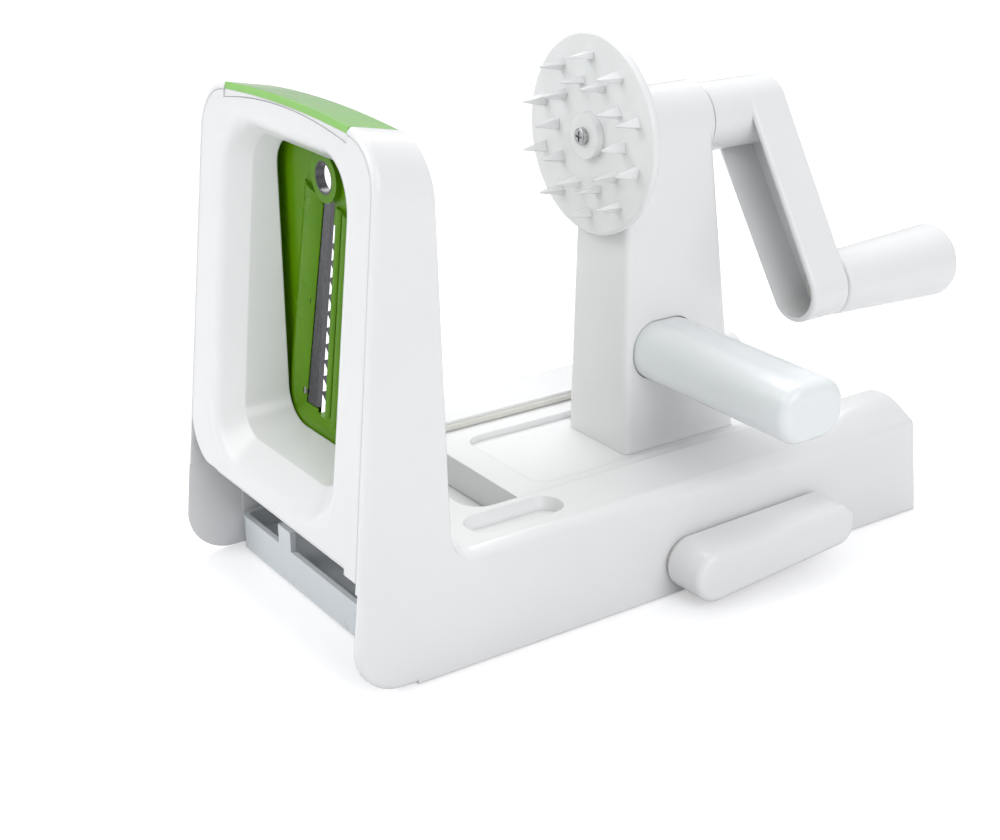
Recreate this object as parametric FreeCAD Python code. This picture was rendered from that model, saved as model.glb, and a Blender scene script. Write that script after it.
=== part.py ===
import FreeCAD, Part
import math
import os

Vector = FreeCAD.Vector

# Frame: X runs along the spindle from the blade arch to the crank, Y across, Z up.
# The origin is on the table, midway across, where the suction pad's front lip seals.
# Lengths along X are given from the front edge of the base, and the finished solids
# are moved to the origin as they are written. Every size is in millimetres.

# ---------------------------------------------------------------- clearances
seam = 0.15              # visible joint line between two fixed mouldings
fixed_fit = 0.05         # radial gap of a pin or bush that stays put
running_fit = 0.06       # radial gap of a turning shaft
slide_gap = 0.3          # gap beside a face that slides or turns

# ---------------------------------------------------------------- base
base_length = 280.0
base_half_width = 69.2   # at the table
side_lean = 0.029        # how far the sides come in for each millimetre of height
shell_wall = 2.8
floor_gap = 0.6          # the shell's lower edge stands this far above the table
ridge_height = 41.5      # where the rail's side turns over into its shoulder
ridge_radius = 3.5
shoulder_slope = 0.6     # rise of the shoulder for each millimetre inward
crown_height = 44.0
stop_height = 49.4       # crest of the raised stop at each rail's rear end
stop_length = 76.0       # from where the rail starts to rise to its rear end
stop_top_length = 12.0   # from the top of that rise to the rear end
stop_crest_half = 48.0   # the stop's crest reaches inward to this far from the middle
stop_inner_fall = 4.4    # from the crest down to the channel's edge
stop_steps = 8           # cross-sections through the rise
rear_lean = 0.12         # how far the rear leans forward for each millimetre of height
crown_radius = 6.0         # of the soft turn from shoulder to crown
stop_crown_radius = 16.0
rear_edge_radius = 3.0
cove_radius = 11.0         # hollow curve where the arch's back meets the rails
cove_bite = 0.8            # how deep that curve's filling is rooted
cavity_shoulder = 5.0      # of the hollow inside the rails
cavity_radius = 3.0

channel_half_width = 38.3
channel_floor = 26.8
channel_floor_thickness = 2.6
channel_front = 26.0     # front edge of the channel's floor and walls
channel_corner_radius = 10.0
deck_rear = 69.0         # rear edge of the bridge behind the arch
deck_underside = 41.2

pocket_front = 60.0      # shallow pocket in the near rail
pocket_length = 42.0
pocket_width = 15.0
pocket_depth = 5.0
pocket_draft = 1.8       # how far its walls lean in down to its floor
pocket_inset = 20.2      # of its middle line from the base's side

# ---------------------------------------------------------------- arch
spindle_height = 167.0
window_over_spindle = 10.3  # from the spindle's axis to the top of the arch's rear window
top_bar_height = 19.6    # from that window's top to the front edge of the arch's top
arch_half_top = 44.0     # half width of the crowned stretch
fillet_room = 1.05       # largest corner radius for each millimetre of the shoulder's width
arch_crown_rise = 1.8
arch_top_fall = 0.19     # fall of the top for each millimetre towards the rear
arch_corner_radius = 20.0
front_lean = 0.098       # how far the front leans back for each millimetre of height
arch_rear_foot = 42.0
arch_rear_top = 38.6
foot_radius = 18.5       # rounded lower front corner of each side
front_edge_radius = 2.2
bar_underside = 47.8     # lower edge of the front face, across the arch
bar_corner_radius = 19.0 # of that face's lower far corner
bar_near_inset = 12.2    # the lip below the face ends this far from the near side
lip_drop = 2.8           # how far the lip hangs below the face
lip_set_back = 2.3
lip_depth = 14.0
bezel_plate = 2.8

window_half_width = 40.6 # rear window of the arch, behind the blades
window_bottom = 61.6
window_radius = 14.0
rim_half_width = 46.0    # sharp edge where the funnel would meet the front face
rim_bottom = 53.5
rim_top_drop = 5.0       # from the arch's shoulder seam down to that edge's top
rim_radius = 21.0
crease_depth = 8.75      # how far behind the front face the funnel ends
crease_half_width = 36.75
crease_bottom = 63.75
crease_top_drop = 11.0   # from the arch's shoulder seam down to the crease
crease_radius = 12.5
mouth_rear_x = 32.7      # where the passage ends, just ahead of the cartridge
mouth_rear_half = 32.5
mouth_rear_bottom = 66.8
mouth_rear_fall = 1.5    # how much lower than the crease the passage's top ends
mouth_rear_radius = 12.5
funnel_wall = 2.4
top_bar_gap = 6.0        # between the rear window's top and the bar above it
top_bar_depth = 4.0      # how far that bar reaches ahead of the cartridge's slot
funnel_edge_radius = 8.4

# ---------------------------------------------------------------- blade cartridge
cartridge_thickness = 4.0
cartridge_overlap = 4.3    # how far the cartridge reaches below the rear window
cartridge_corner_radius = 14.0
head_overhang = 0.5        # how far the head reaches past the cartridge at each end
head_depth = 7.3           # from the arch's top down to the head's lower edge at its ends
head_rise = 4.2            # how much higher that edge is at the middle
head_inset = 0.4           # the head stands this far behind the arch's faces
cap_thickness = 2.6
blade_angle = 11.5         # of the blade from the vertical
blade_inner = 8.0          # radius from which the blade cuts
blade_foot = 15.7          # from the cartridge's lower edge up to the blade's outer end
blade_width = 13.5
blade_thickness = 1.0
blade_bevel = 1.6          # width of the ground edge
blade_edge = -4.7          # cutting edge, measured sideways from the radius
blade_inset = 0.8          # how deep the blade lies in the cartridge's rear face
blade_end_lap = 4.0        # how far the blade runs on beyond its cutting length
strand_gap = 3.0           # slot beside the blade, that the strands pass, at the spindle
tooth_pitch = 6.8
slot_inner = 15.8          # radius from which that slot is open
tooth_start = 23.8         # radius of the innermost tooth
tooth_gap = 0.4            # between the teeth's tips and the blade
tooth_width = 6.5
comb_root = 3.6            # width of the comb's strip behind the teeth
comb_thickness = 0.8
coring_radius = 6.0
coring_wall = 0.6
coring_seat = 3.0          # width of the ring of plastic that holds the coring ring
bar_angle = 13.6           # of the broad rounded bar from the vertical
bar_edge = -0.1            # near edge of that bar, sideways from its radius
bar_half_width = 8.0
bar_bulge = 2.4
guard_angle = 10.2         # of the narrow bar beside the teeth from the vertical
guard_half_width = 1.9
guard_stand = 0.9          # height of its straight sides
guard_bulge = 0.5
side_bar_half_width = 4.2  # next bar, beyond the narrow one
side_bar_bulge = 2.2
rear_web = 1.4             # thickness of the cartridge's rear face
pocket_rim = 5.5
pocket_radius = 12.0
pocket_foot = 12.7         # height of the cartridge's lower rim at its front
pocket_slope = 6.5         # rise of the ledge behind that rim
pocket_top_drop = 1.3      # from the rear window's top down to the pocket's top
rivet_radius = 1.5
rivet_head_radius = 2.4
rivet_head = 0.7
rivet_depth = 0.9          # how far a rivet's shank goes into the plastic
rivet_margin = 0.6         # between a rivet's head and the blade's back edge

# ---------------------------------------------------------------- carriage
plate_front = 94.8
plate_rear = 232.0
plate_top = 40.2
plate_wall = 2.6
plate_corner_radius = 3.0
plate_inner_radius = 1.0
plate_rib = 1.6            # ribs under the plate
plate_rib_offset = 6.0
plate_bays = 5
strip_end_gap = 2.0
recess_half_width = 26.9
recess_front = 108.3
recess_rear = 226.0
recess_depth = 2.7
recess_radius = 8.0
strip_height = 2.3         # hold-down strip above each edge of the plate
strip_reach = 1.4          # how far it stands out over the plate

tower_front = 156.9
tower_foot_spread = 16.4   # how much deeper the tower is at its foot than at the spindle
barrel_stand_out = 0.9     # of the barrel behind the tower
tower_half_foot = 19.7
tower_half_top = 15.8
tower_wall = 2.6
tower_edge_radius = 3.0
tower_boss_height = 18.0
tower_boss_front = 3.5     # from the tower's inner face to its front screws
tower_boss_rear = 5.5
tower_boss_sink = 0.3      # how far the bosses sink into the side walls
barrel_edge_radius = 0.8
barrel_radius = 15.9
barrel_front = 155.6
barrel_rear = 200.7

handle_front = 160.9       # push handle's section
handle_rear = 192.1
handle_bottom = 68.2
handle_top = 92.2
handle_corner_radius = 11.0
handle_tip = -104.5
handle_tip_radius = 4.5
handle_hole_gap = 0.3
handle_boss_radius = 5.0
handle_screw_length = 18.0

# ---------------------------------------------------------------- spindle and crank
spindle_radius = 5.0
bush_radius = 9.0
bush_share = 0.266         # length of each bush, as a share of the barrel's
bush_flange_radius = 12.0
bush_flange = 1.6
disc_radius = 39.0
disc_thickness = 3.2
disc_edge_radius = 1.2
disc_gap = 0.5             # between the disc's back and the front bush
disc_cap = 1.7             # thickness of the boss in front of the shaft's end
disc_boss_radius = 9.0
disc_boss_height = 3.0
spike_length = 10.5
spike_width = 4.6
spike_root = 3.0
spike_tip_share = 0.14    # width of a spike's tip, as a share of its foot
outer_spike_radius = 30.5
inner_spike_radius = 21.0
spikes_per_ring = 10
outer_spike_start = 17.0   # angles of the first spikes, round from the far side
inner_spike_start = 38.0

hub_radius = 13.9
hub_cap = 2.1              # thickness behind the shaft's end, under the arm's floor
hub_web = 2.0
hub_webs = 3
hub_web_set_back = 8.0
arm_hub_radius = 14.0
crank_hub_length = 21.3    # from the barrel's rear to the arm
crank_arm_depth = 19.6
crank_length = 78.2
crank_angle = 33.4         # of the hanging crank from the vertical
crank_end_radius = 12.6
crank_wall = 2.2
crank_floor = 2.6
crank_edge_radius = 1.6
knob_root_radius = 12.8
knob_end_radius = 15.5
knob_length = 66.7
knob_dome = 7.0
knob_pin_radius = 4.0
knob_barb = 0.8
knob_barb_length = 3.6
knob_bore_depth = 43.0
knob_root_edge = 1.6
knob_end_edge = 4.0
pin_head = 1.5
pin_head_step = 1.5
pin_boss_radius = 7.4
pin_boss_height = 2.4

# ---------------------------------------------------------------- suction foot
lever_x = 148.6
lever_height = 14.4
lever_hub_radius = 10.7
lever_tip_radius = 8.6
lever_length = 63.1
lever_tip_rise = 3.2
lever_thickness = 19.0
lever_edge_radius = 3.0
lever_wall_gap = 1.6
lever_wall = 2.4
cam_shaft_radius = 4.0
crank_pin_radius = 2.5     # eccentric pin that lifts the stem
crank_pin_offset = 3.0
web_radius = 6.0
web_thickness = 1.6
web_gap = 0.4
pin_collar = 1.5           # plastic round the eccentric pin's foot
pin_stand_out = 0.8        # of the eccentric pin beyond the yoke
lever_bore_depth = 14.0
cheek_thickness = 3.0
cheek_half_width = 8.0
bush_wall = 3.0
side_bush_depth = 7.0
side_bush_flange = 2.5
side_bush_flange_thickness = 1.0
yoke_thickness = 6.2
yoke_side_gap = 0.9
yoke_top_gap = 0.15
yoke_wall = 2.2
stem_radius = 3.1
stem_foot_radius = 12.0
stem_foot_bottom = 2.4
stem_foot_thickness = 2.1

tray_front = 24.0
tray_wall = 2.4
tray_floor_bottom = 4.8
tray_floor_top = 7.2
tray_height = 15.0
tray_side_gap = 1.2
tray_rear_gap = 0.6
tray_corner_radius = 5.0
tray_notch_half = 8.0
tray_lug_low = 21.0        # lug on the tray's front wall, from and to this far from the middle
tray_lug_high = 31.0
tray_lug_height = 23.4
pad_front = 66.0
pad_rear_gap = 49.0        # from the pad's rear edge to the base's rear end
pad_inset = 21.2           # of the pad's edge from the base's side
pad_radius = 24.0
pad_skin_bottom = 2.2      # underside of the pad inside its lip
pad_lip = 5.0
foot_pad_radius = 7.0
foot_stud_radius = 2.4
foot_stud_height = 9.0     # top of the stud above the table
foot_barb_radius = 2.9
foot_tip_radius = 1.4
foot_front = 36.0
foot_front_inset = 19.2    # of the two front feet from the base's sides
foot_rear_gap = 34.0       # from the rear feet to the base's rear end
foot_rear_inset = 15.2

# ---------------------------------------------------------------- screws
screw_radius = 1.6
screw_head_radius = 3.4
screw_head = 2.2
screw_boss_radius = 4.0
screw_clearance = 0.2
screw_slot_width = 0.9
screw_slot_length = 4.0
screw_slot_depth = 1.0
tray_screw_length = 13.0
tray_screw_front = 51.0
tray_screw_gaps = [90.0, 18.0]  # from the other rows to the base's rear end
tray_screw_inset = 13.2    # of the screws' line from the base's side
tower_screw_length = 14.0
end_screw_length = 13.0
screw_hole_spare = 1.0     # depth of a pilot hole beyond the screw's tip

beyond = 20.0              # how far an opening is carried past the faces it opens
past = 1.0                 # short overrun of a cut
bite = 0.5                 # how far one form sinks into the next where they are one piece
touch = 0.01               # how near two places must be to count as the same


# ================================================================ helpers
def place(normal, level, u, v):
    """Point (u, v) of the plane at the given level along the normal axis."""
    if normal == "x":
        return Vector(level, u, v)
    if normal == "y":
        return Vector(u, level, v)
    return Vector(u, v, level)


def rounded_wire(corners, normal, level):
    """Closed wire through corners (u, v) or (u, v, radius)."""
    points = [place(normal, level, c[0], c[1]) for c in corners]
    radii = [c[2] if len(c) > 2 else 0.0 for c in corners]
    edges = []
    ends = []
    for i, point in enumerate(points):
        back = (points[i - 1] - point).normalize()
        ahead = (points[(i + 1) % len(points)] - point).normalize()
        if radii[i] == 0.0:
            ends.append((point, point))
            continue
        half = back.getAngle(ahead) / 2
        reach = radii[i] / math.tan(half)
        start = point + back * reach
        end = point + ahead * reach
        inward = (back + ahead).normalize()
        middle = point + inward * (radii[i] / math.sin(half) - radii[i])
        ends.append((start, end))
        edges.append((i, Part.Arc(start, middle, end).toShape()))
    arcs = dict(edges)
    path = []
    for i in range(len(points)):
        if i in arcs:
            path.append(arcs[i])
        leave = ends[i][1]
        arrive = ends[(i + 1) % len(points)][0]
        if leave.distanceToPoint(arrive) > 1e-6:
            path.append(Part.makeLine(leave, arrive))
    return Part.Wire(path)


def prism(corners, normal, low, high):
    """Solid with the given outline, between two levels of the normal axis."""
    face = Part.Face(rounded_wire(corners, normal, low))
    return face.extrude(place(normal, high - low, 0, 0))


def block(x_low, x_high, y_low, y_high, z_low, z_high):
    corner = Vector(x_low, y_low, z_low)
    return Part.makeBox(x_high - x_low, y_high - y_low, z_high - z_low, corner)


def rounded_rectangle(u_low, u_high, v_low, v_high, radius):
    return [(u_low, v_low, radius), (u_high, v_low, radius),
            (u_high, v_high, radius), (u_low, v_high, radius)]


def round_bar(axis, start, end, radius, u=0.0, v=0.0):
    """Cylinder along an axis between two levels, centred on (u, v)."""
    return Part.makeCylinder(radius, end - start, place(axis, start, u, v), place(axis, 1, 0, 0))


def mirrored(shape):
    """The same shape on the other side of the middle plane."""
    return shape.mirror(Vector(0, 0, 0), Vector(0, 1, 0))


def side_at(height):
    """Half width of the outer side at a height."""
    return base_half_width - side_lean * height


def front_at(height):
    """Where the leaning front face is at a height."""
    return front_lean * height


def hull(normal, low, high, first, second):
    """Prism around two circles, each given as (u, v, radius)."""
    u0, v0, r0 = first
    u1, v1, r1 = second
    heading = math.atan2(v1 - v0, u1 - u0)
    spread = math.acos((r0 - r1) / math.hypot(u1 - u0, v1 - v0))

    def on(circle, angle):
        u, v, r = circle
        return place(normal, low, u + r * math.cos(angle), v + r * math.sin(angle))

    left0 = on(first, heading + spread)
    right0 = on(first, heading - spread)
    left1 = on(second, heading + spread)
    right1 = on(second, heading - spread)
    wire = Part.Wire([Part.Arc(left0, on(first, heading + math.pi), right0).toShape(),
                      Part.makeLine(right0, right1),
                      Part.Arc(right1, on(second, heading), left1).toShape(),
                      Part.makeLine(left1, left0)])
    return Part.Face(wire).extrude(place(normal, high - low, 0, 0))


def screw(axis, seat, heading, length, u, v):
    """Pan-head screw whose head bears on the seat and whose shank runs along the heading."""
    top = seat - heading * screw_head
    tip = seat + heading * length
    head = round_bar(axis, min(seat, top), max(seat, top), screw_head_radius, u, v)
    rim = edges_where(head, lambda edge: abs(edge.CenterOfMass.dot(place(axis, 1, 0, 0)) - top) < touch
                      and edge.Length > screw_head_radius * math.pi)
    head = head.makeFillet(screw_head / 3, rim)
    floor = top + heading * screw_slot_depth
    low = min(top, floor)
    high = max(top, floor)
    long_half = screw_slot_length / 2
    wide_half = screw_slot_width / 2
    for half_u, half_v in ((long_half, wide_half), (wide_half, long_half)):
        head = head.cut(prism([(u - half_u, v - half_v), (u + half_u, v - half_v),
                               (u + half_u, v + half_v), (u - half_u, v + half_v)],
                              axis, low, high))
    return head.fuse(round_bar(axis, min(seat, tip), max(seat, tip), screw_radius, u, v))


def pilot(axis, seat, heading, length, u, v):
    """Hole that takes a screw's shank, from its seat to just past its tip."""
    tip = seat + heading * (length + screw_hole_spare)
    start = seat - heading * bite
    return round_bar(axis, min(start, tip), max(start, tip), screw_radius + fixed_fit, u, v)


def edges_where(shape, test):
    return [edge for edge in shape.Edges if test(edge)]


def write(node, *solids):
    shape = solids[0] if len(solids) == 1 else Part.makeCompound(list(solids))
    shape.translate(Vector(-pad_front - pad_lip / 2, 0, 0))
    shape.exportStep("parts/" + node + ".step")


os.makedirs("parts", exist_ok=True)

# ================================================================ shared places
window_top = spindle_height + window_over_spindle
arch_top = window_top + top_bar_height
head_edge_height = arch_top - head_depth
arch_corner = min(arch_corner_radius, fillet_room * (side_at(arch_top) - arch_half_top))
bush_length = bush_share * (barrel_rear - barrel_front)
tower_rear_top = barrel_rear - barrel_stand_out
tower_rear_foot = tower_rear_top + tower_foot_spread
crank_arm_start = barrel_rear + crank_hub_length
stop_rise_start = base_length - stop_length
stop_rise_end = base_length - stop_top_length
cartridge_half_width = arch_half_top - head_overhang
cartridge_bottom = window_bottom - cartridge_overlap
blade_outer = spindle_height - cartridge_bottom - blade_foot
pad_rear = base_length - pad_rear_gap
pad_half_width = base_half_width - pad_inset
pocket_offset = base_half_width - pocket_inset
bar_near_length = base_half_width - bar_near_inset
tray_screw_side = base_half_width - tray_screw_inset
foot_places = [(foot_front, base_half_width - foot_front_inset),
               (base_length - foot_rear_gap, base_half_width - foot_rear_inset)]
tray_screw_rows = [tray_screw_front] + [base_length - gap for gap in tray_screw_gaps]
arch_bottom = floor_gap
top_front_x = front_at(arch_top)
slot_front = mouth_rear_x + slide_gap
slot_rear = slot_front + cartridge_thickness + 2 * slide_gap
cartridge_front = slot_front + slide_gap
cartridge_rear = cartridge_front + cartridge_thickness
slot_half_width = cartridge_half_width + slide_gap
slot_bottom = cartridge_bottom - slide_gap
guide_outer = slot_half_width + shell_wall


def crown_segment(lift):
    """The crowned sliver above the straight line between the arch's two corners."""
    ends = arch_top - arch_crown_rise + lift
    left = Vector(0, -arch_half_top, ends)
    right = Vector(0, arch_half_top, ends)
    arc = Part.Arc(left, Vector(0, 0, arch_top + lift), right).toShape()
    return Part.Face(Part.Wire([arc, Part.makeLine(right, left)]))


def along_top(face, reach=4 * beyond):
    """Sweep a cross face through the arch, parallel to its falling top."""
    start = -beyond
    moved = face.copy()
    moved.translate(Vector(start, 0, arch_top_fall * (top_front_x - start)))
    return moved.extrude(Vector(reach, 0, -arch_top_fall * reach))


def arch_body(inset, low):
    """Solid inside the arch's outline, its top falling towards the rear."""
    top = arch_top - arch_crown_rise - inset
    slope = 2 * arch_crown_rise / arch_half_top
    wide = 2 * base_half_width
    eaves = top - slope * (wide - arch_half_top)
    roof = along_top(Part.Face(rounded_wire(
        [(-wide, low - 2 * beyond), (-wide, eaves), (-arch_half_top, top),
         (arch_half_top, top), (wide, eaves), (wide, low - 2 * beyond)], "x", 0.0)))
    high = arch_top + beyond
    sides = prism([(inset - side_at(low), low), (side_at(low) - inset, low),
                   (side_at(high) - inset, high), (inset - side_at(high), high)],
                  "x", -beyond, arch_rear_foot + beyond)
    body = roof.common(sides)

    def on_shoulder(edge):
        ends = [vertex.Point for vertex in edge.Vertexes]
        for end in ends:
            if abs(abs(end.y) - side_at(end.z) + inset) > touch or end.z < arch_top / 2:
                return False
        return abs(ends[0].x - ends[-1].x) > past

    body = body.makeFillet(arch_corner - inset, edges_where(body, on_shoulder))
    return body.fuse(along_top(crown_segment(-inset)))


def side_view(front_inset, rear_inset, low, high, radius):
    """The arch seen from the side, as a slab wider than the base."""
    rear_low = arch_rear_foot - rear_inset
    rear_high = arch_rear_top - rear_inset
    rear_slope = (rear_high - rear_low) / arch_top
    corners = [(front_at(low) + front_inset, low, radius),
               (rear_low + rear_slope * low, low),
               (rear_low + rear_slope * high, high),
               (front_at(high) + front_inset, high)]
    if radius == 0.0:
        corners[0] = (front_at(low) + front_inset, low)
    return prism(corners, "y", -2 * base_half_width, 2 * base_half_width)


arch_height_limit = arch_top + beyond
arch_outer = arch_body(0.0, arch_bottom).common(
    side_view(0.0, 0.0, arch_bottom, arch_height_limit, foot_radius))


def on_front_face(edge):
    """True for the outline edges of the leaning front face."""
    for vertex in edge.Vertexes:
        if abs(vertex.X - front_at(vertex.Z)) > touch:
            return False
        if vertex.Z < arch_bottom + foot_radius:
            return False
    return True


arch_outer = arch_outer.makeFillet(front_edge_radius, edges_where(arch_outer, on_front_face))

# ================================================================ base shell
ridge_y = side_at(ridge_height)


def base_profile(top, radius):
    """Cross-section of the solid base up to a crown of the given height."""
    crest_y = ridge_y - (top - ridge_height) / shoulder_slope
    return [(-side_at(floor_gap), floor_gap), (-ridge_y, ridge_height, ridge_radius),
            (-crest_y, top, radius), (crest_y, top, radius),
            (ridge_y, ridge_height, ridge_radius), (side_at(floor_gap), floor_gap)]


def stop_section(x, rise):
    """Cross-section where the stops rise, their inner sides rounded down to the channel."""
    top = crown_height + rise * (stop_height - crown_height)
    radius = crown_radius + rise * (stop_crown_radius - crown_radius)
    corners = base_profile(top, radius)
    half = len(corners) // 2
    outline = rounded_wire(corners[:half] + [(-stop_crest_half, top), (stop_crest_half, top)]
                           + corners[half:], "x", x)
    edges = [edge for edge in outline.Edges
             if abs(edge.CenterOfMass.y) > touch or edge.CenterOfMass.z < ridge_height]
    fall = rise * stop_inner_fall
    inner = []
    for side in (-1, 1):
        points = []
        for i in range(stop_steps + 1):
            share = i / stop_steps
            y = stop_crest_half + share * (channel_half_width - stop_crest_half)
            points.append(Vector(x, side * y, top - fall * share ** 2))
        curve = Part.BSplineCurve()
        curve.interpolate(points)
        edges.append(curve.toShape())
        inner.append(points[-1])
    edges.append(Part.makeLine(inner[0], inner[1]))
    return Part.Wire(Part.__sortEdges__(edges))


def rear_face_at(height):
    return base_length - rear_lean * height


def ahead_of_rear(inset):
    """Everything ahead of the leaning rear face, drawn in by an inset."""
    high = stop_height + beyond
    return prism([(-2 * beyond, -beyond), (-2 * beyond, high),
                  (rear_face_at(high) - inset, high), (rear_face_at(-beyond) - inset, -beyond)],
                 "y", -base_half_width, base_half_width)


inner_half = side_at(0.0) - shell_wall
cavity_top = crown_height - shell_wall
channel_wall_y = channel_half_width + channel_floor_thickness
channel_under = channel_floor - channel_floor_thickness


def base_cavity_profile():
    """Cross-section of the hollow under the rails and the channel."""
    inner_ridge = ridge_y - shell_wall
    low = -past
    return [(-inner_half, low), (-inner_ridge, ridge_height - cavity_shoulder, cavity_radius),
            (-inner_ridge + 2 * cavity_shoulder, cavity_top, cavity_radius), (-channel_wall_y, cavity_top),
            (-channel_wall_y, channel_under), (channel_wall_y, channel_under),
            (channel_wall_y, cavity_top), (inner_ridge - 2 * cavity_shoulder, cavity_top, cavity_radius),
            (inner_ridge, ridge_height - cavity_shoulder, cavity_radius), (inner_half, low)]


rails = prism(base_profile(crown_height, crown_radius), "x", channel_front, stop_rise_start)
rise_sections = []
for i in range(stop_steps + 1):
    rise = (1.0 - math.cos(math.pi * i / stop_steps)) / 2
    rise_x = stop_rise_start + (stop_rise_end - stop_rise_start) * i / stop_steps
    rise_sections.append(stop_section(rise_x, rise))
rising = Part.makeLoft(rise_sections, True, False)
stop_end = Part.Face(stop_section(stop_rise_end, 1.0)).extrude(
    Vector(base_length - stop_rise_end, 0, 0)).common(ahead_of_rear(0.0))
base_outer = rails.fuse([rising, stop_end])


def on_rear_face(edge):
    for vertex in edge.Vertexes:
        if abs(vertex.X - rear_face_at(vertex.Z)) > touch:
            return False
    return edge.CenterOfMass.z > floor_gap + past


base_outer = base_outer.makeFillet(rear_edge_radius, edges_where(base_outer, on_rear_face))


def rear_at(height):
    """Where the arch's rear face is at a height."""
    return arch_rear_foot + (arch_rear_top - arch_rear_foot) * height / arch_top


def cove():
    """Hollow curve along the rails' section, where the arch's back rises from them."""
    section = Part.Face(rounded_wire(base_profile(crown_height, crown_radius), "x",
                                     rear_at(crown_height)))
    path = []
    for edge in section.OuterWire.OrderedEdges:
        if max(vertex.Z for vertex in edge.Vertexes) > ridge_height - ridge_radius:
            if min(vertex.Z for vertex in edge.Vertexes) > floor_gap + past:
                path.append(edge)
    path = Part.Wire(Part.__sortEdges__(path))
    start = path.OrderedVertexes[0].Point
    out = -1.0 if start.y < 0 else 1.0
    lean = (arch_rear_foot - arch_rear_top) / arch_top * cove_radius
    back = Vector(-cove_bite, 0, 0)
    foot = start + Vector(cove_radius, 0, 0)
    head = start + Vector(-lean, out * cove_radius, 0)
    centre = Vector(foot.x, head.y, start.z)
    middle = centre + (start - centre).normalize() * cove_radius
    inside = Vector(0, -out * cove_bite, 0)
    edges = [Part.Arc(foot, middle, head).toShape(),
             Part.makeLine(head, head + back),
             Part.makeLine(head + back, start + back + inside),
             Part.makeLine(start + back + inside, foot + inside),
             Part.makeLine(foot + inside, foot)]
    swept = path.makePipeShell([Part.Wire(edges)], True, False)
    high = crown_height + 2 * cove_radius
    low = ridge_height - 2 * ridge_radius
    trim = prism([(-side_at(low), low), (side_at(low), low),
                  (side_at(high), high), (-side_at(high), high)],
                 "x", 0.0, arch_rear_foot + beyond)
    return swept.common(trim)


rear_reach = base_length + beyond
window = prism(
    [(deck_rear, -channel_half_width, channel_corner_radius),
     (rear_reach, -channel_half_width), (rear_reach, channel_half_width),
     (deck_rear, channel_half_width, channel_corner_radius)],
    "z", channel_floor, stop_height + beyond)
under_deck = block(-beyond, deck_rear + channel_corner_radius, -channel_half_width,
                   channel_half_width, channel_floor, deck_underside)
hollow = prism(base_cavity_profile(), "x", slot_front - past, base_length)
hollow = hollow.common(ahead_of_rear(shell_wall))
front_clear = block(-beyond, channel_front, -inner_half, inner_half, -beyond, deck_underside)
foot_clear = arch_body(shell_wall, arch_bottom).common(
    block(-beyond, slot_front, -base_half_width, base_half_width, 0.0, cavity_top + past))

arch_hollow = arch_body(shell_wall, arch_bottom).common(
    side_view(-2 * beyond, shell_wall, cavity_top, arch_height_limit, 0.0))

shell = arch_outer.fuse([base_outer, cove()]).removeSplitter()
shell = shell.cut(arch_hollow)
shell = shell.cut(hollow)

# Members inside the arch: the sill beam, the slot's guides and the top bar.
members_rear = arch_rear_foot + beyond
sill_beam = block(slot_front, members_rear, -guide_outer, guide_outer,
                  deck_underside, window_bottom)
guide = block(slot_front, members_rear, slot_half_width, guide_outer,
              window_bottom - past, arch_top)
top_bar = block(slot_front - top_bar_depth, members_rear, -guide_outer, guide_outer,
                window_top + top_bar_gap, arch_height_limit)
members = sill_beam.fuse([guide, mirrored(guide), top_bar])
members = members.common(arch_body(bite, arch_bottom).common(
    side_view(0.0, 0.0, arch_bottom, arch_height_limit, 0.0)))
shell = shell.fuse(members)

rear_window = prism(
    rounded_rectangle(-window_half_width, window_half_width, window_bottom, window_top,
                      window_radius),
    "x", slot_front - past, members_rear)
slot = block(slot_front, slot_rear, -slot_half_width, slot_half_width,
             slot_bottom, arch_height_limit)


def head_region(drop, half_width):
    """Everything above the head's lower edge, between its two ends."""
    ends = head_edge_height - drop
    left = Vector(0, -half_width, ends)
    right = Vector(0, half_width, ends)
    arc = Part.Arc(left, Vector(0, 0, ends + head_rise), right).toShape()
    top_left = Vector(0, -half_width, arch_height_limit)
    top_right = Vector(0, half_width, arch_height_limit)
    wire = Part.Wire([arc, Part.makeLine(right, top_right),
                      Part.makeLine(top_right, top_left), Part.makeLine(top_left, left)])
    return along_top(Part.Face(wire))


notch = head_region(seam, arch_half_top + seam)
shell = shell.cut(rear_window)
shell = shell.cut(slot)
shell = shell.cut(notch)
shell = shell.cut(window)
shell = shell.cut(under_deck)
shell = shell.cut(front_clear)
shell = shell.cut(foot_clear)

# Pocket in the near rail, bosses for the tray's screws.
pocket_end_radius = pocket_width / 2 - touch
pocket_low = -pocket_offset - pocket_width / 2
pocket_high = -pocket_offset + pocket_width / 2
pocket_wires = []
for depth, draw_in in ((pocket_depth, pocket_draft), (0.0, 0.0)):
    pocket_wires.append(rounded_wire(rounded_rectangle(
        pocket_front + draw_in, pocket_front + pocket_length - draw_in, pocket_low + draw_in,
        pocket_high - draw_in, pocket_end_radius - draw_in), "z", crown_height - depth))
pocket = Part.makeLoft(pocket_wires, True, True)
pocket = pocket.fuse(Part.Face(pocket_wires[1]).extrude(Vector(0, 0, beyond)))
pocket_shell = prism(
    rounded_rectangle(pocket_front - shell_wall, pocket_front + pocket_length + shell_wall,
                      pocket_low - shell_wall, pocket_high + shell_wall,
                      pocket_end_radius + shell_wall),
    "z", crown_height - pocket_depth - shell_wall, cavity_top + bite)
shell = shell.fuse(pocket_shell).cut(pocket)

screw_places = [(x, side * tray_screw_side) for x in tray_screw_rows for side in (-1, 1)]
for x, y in screw_places:
    boss = round_bar("z", tray_floor_top, cavity_top + past, screw_boss_radius, x, y)
    shell = shell.fuse(boss)
    shell = shell.cut(pilot("z", tray_floor_bottom, 1, tray_screw_length, x, y))

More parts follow.
